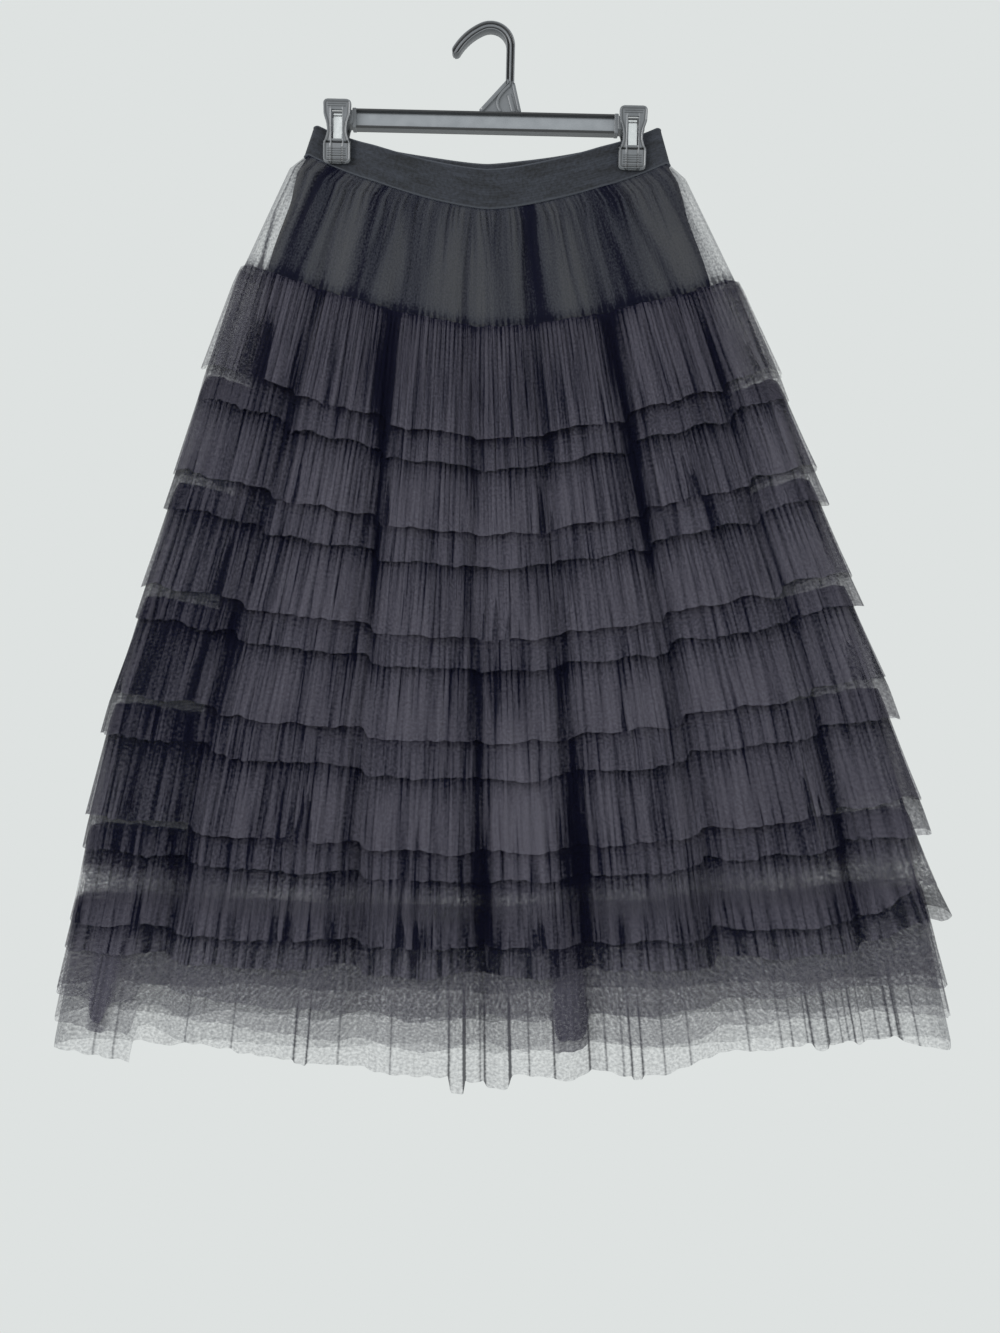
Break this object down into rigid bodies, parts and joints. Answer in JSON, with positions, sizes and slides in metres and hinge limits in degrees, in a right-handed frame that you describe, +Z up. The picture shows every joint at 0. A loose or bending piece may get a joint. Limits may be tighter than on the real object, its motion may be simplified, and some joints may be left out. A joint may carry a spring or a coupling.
{
  "type": "tulle skirt on clip hanger",
  "caption": "Long sheer tulle skirt with an elastic waist, a lining and pleated double tiers, hung flat by its waistband from a plastic clip hanger.",
  "frame": {"origin": "inside top of the hanger's hook, where it hangs on a rail or peg", "axes": "+Z up, the front of the skirt faces -Y, +X to the right as seen from the front"},
  "size_m": [0.8553, 0.0945, 0.9702],
  "materials": {
    "elastic": "ribbed knit elastic",
    "lining_cloth": "smooth matte lining",
    "sheer_tulle": "sheer net",
    "pleated_tulle": "pleated sheer net",
    "black_plastic": "moulded satin gloss",
    "spring_steel": "bright"
  },
  "bodies": {
    "root": {"waistband_front": "elastic", "lining_front": "lining_cloth", "skirt_front": "sheer_tulle", "tier1_inner_front": "pleated_tulle", "tier1_outer_front": "pleated_tulle", "tier2_inner_front": "pleated_tulle", "tier2_outer_front": "pleated_tulle", "tier3_inner_front": "pleated_tulle", "tier3_outer_front": "pleated_tulle", "tier4_inner_front": "pleated_tulle", "tier4_outer_front": "pleated_tulle", "tier5_inner_front": "pleated_tulle", "tier5_outer_front": "pleated_tulle", "tier6_inner_front": "pleated_tulle", "tier6_outer_front": "pleated_tulle", "tier7_inner_front": "pleated_tulle", "tier7_outer_front": "pleated_tulle", "waistband_back": "elastic", "lining_back": "lining_cloth", "skirt_back": "sheer_tulle", "tier1_inner_back": "pleated_tulle", "tier1_outer_back": "pleated_tulle", "tier2_inner_back": "pleated_tulle", "tier2_outer_back": "pleated_tulle", "tier3_inner_back": "pleated_tulle", "tier3_outer_back": "pleated_tulle", "tier4_inner_back": "pleated_tulle", "tier4_outer_back": "pleated_tulle", "tier5_inner_back": "pleated_tulle", "tier5_outer_back": "pleated_tulle", "tier6_inner_back": "pleated_tulle", "tier6_outer_back": "pleated_tulle", "tier7_inner_back": "pleated_tulle", "tier7_outer_back": "pleated_tulle", "hanger_hook": "black_plastic", "hanger_bar": "black_plastic", "clip_left_front": "black_plastic", "clip_left_back": "black_plastic", "spring_left": "spring_steel", "clip_right_front": "black_plastic", "clip_right_back": "black_plastic", "spring_right": "spring_steel"}
  },
  "joints": []
}
